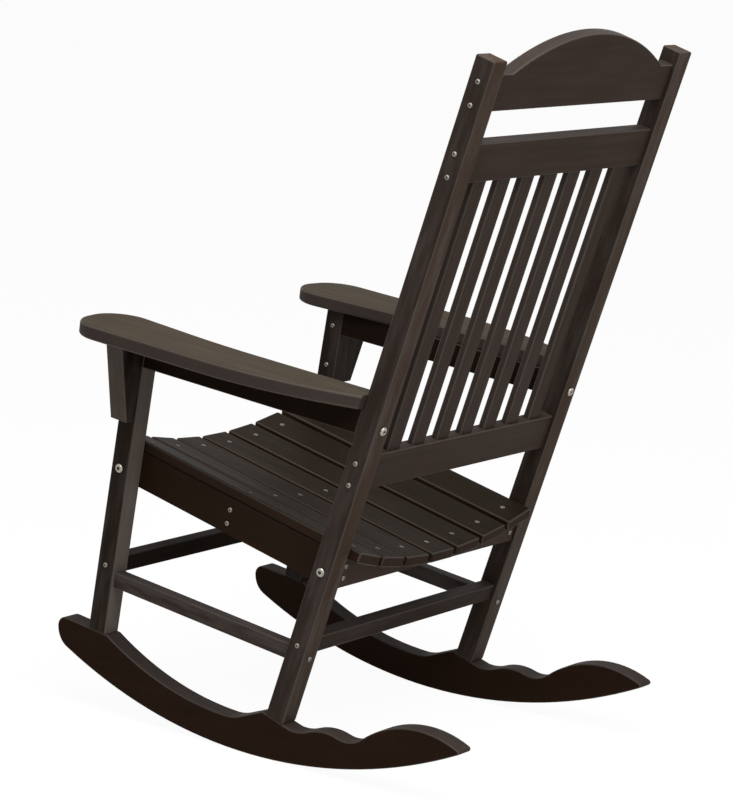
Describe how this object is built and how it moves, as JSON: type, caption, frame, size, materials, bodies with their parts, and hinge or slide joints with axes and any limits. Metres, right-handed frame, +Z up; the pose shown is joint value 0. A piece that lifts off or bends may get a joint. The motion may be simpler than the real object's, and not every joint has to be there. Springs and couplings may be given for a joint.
{
  "type": "plastic lumber rocking chair",
  "caption": "High-backed porch rocker built of brown plastic lumber boards: curved runners, slatted dished seat, slatted back with an arched crest, and broad flat arms.",
  "frame": {"origin": "on the floor, under the middle of the chair's overall box, as it stands at rest", "axes": "+Z up, the sitter looks along -Y, +X to the sitter's left"},
  "size_m": [0.764, 0.8774, 1.2622],
  "materials": {
    "brown_lumber": "dark brown plastic lumber with a fine lengthwise brushed grain and a satin sheen on its eased edges",
    "stainless_steel": "bare stainless steel, lightly brushed"
  },
  "bodies": {
    "root": {"arm_bolts": "stainless_steel", "arm_bracket_left": "brown_lumber", "arm_bracket_right": "brown_lumber", "arm_left": "brown_lumber", "arm_rail_left": "brown_lumber", "arm_rail_right": "brown_lumber", "arm_rail_screws": "stainless_steel", "arm_right": "brown_lumber", "arm_screws": "stainless_steel", "back_crest_rail": "brown_lumber", "back_lower_rail": "brown_lumber", "back_post_left": "brown_lumber", "back_post_right": "brown_lumber", "back_slat_1": "brown_lumber", "back_slat_2": "brown_lumber", "back_slat_3": "brown_lumber", "back_slat_4": "brown_lumber", "back_slat_5": "brown_lumber", "back_slat_6": "brown_lumber", "back_slat_7": "brown_lumber", "back_upper_rail": "brown_lumber", "bracket_screws": "stainless_steel", "crest_rail_screws": "stainless_steel", "cross_stretcher_screws": "stainless_steel", "front_leg_left": "brown_lumber", "front_leg_right": "brown_lumber", "front_stretcher": "brown_lumber", "lower_rail_screws": "stainless_steel", "middle_rail_screws": "stainless_steel", "rear_stretcher": "brown_lumber", "runner_left": "brown_lumber", "runner_right": "brown_lumber", "runner_screws": "stainless_steel", "seat_bolts": "stainless_steel", "seat_frame_screws": "stainless_steel", "seat_front_rail": "brown_lumber", "seat_middle_rail": "brown_lumber", "seat_rear_rail": "brown_lumber", "seat_side_rail_left": "brown_lumber", "seat_side_rail_right": "brown_lumber", "seat_slat_1": "brown_lumber", "seat_slat_2": "brown_lumber", "seat_slat_3": "brown_lumber", "seat_slat_4": "brown_lumber", "seat_slat_5": "brown_lumber", "seat_slat_6": "brown_lumber", "seat_slat_7": "brown_lumber", "seat_slat_screws": "stainless_steel", "side_stretcher_left": "brown_lumber", "side_stretcher_right": "brown_lumber", "side_stretcher_screws": "stainless_steel", "upper_rail_screws": "stainless_steel"}
  },
  "joints": []
}
